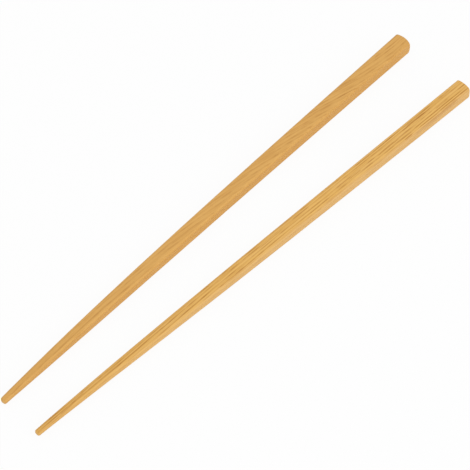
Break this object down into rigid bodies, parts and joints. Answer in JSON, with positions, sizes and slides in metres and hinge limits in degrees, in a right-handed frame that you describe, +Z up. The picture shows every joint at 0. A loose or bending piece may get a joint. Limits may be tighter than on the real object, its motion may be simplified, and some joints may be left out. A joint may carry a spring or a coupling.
{
  "type": "pair of bamboo chopsticks",
  "caption": "Tapered bamboo chopsticks with squared, gently domed butts and blunt round tips, lying side by side; held in one hand to pick up food.",
  "frame": {"origin": "on the table, under the middle of the box around both sticks", "axes": "+X from the tips to the butts, +Y to the left of someone looking from the tips to the butts, +Z up from the table"},
  "size_m": [0.2406, 0.0414, 0.0075],
  "materials": {
    "bamboo": "sanded and lightly oiled, satin"
  },
  "bodies": {
    "root": {"left_chopstick": "bamboo", "right_chopstick": "bamboo"}
  },
  "joints": []
}
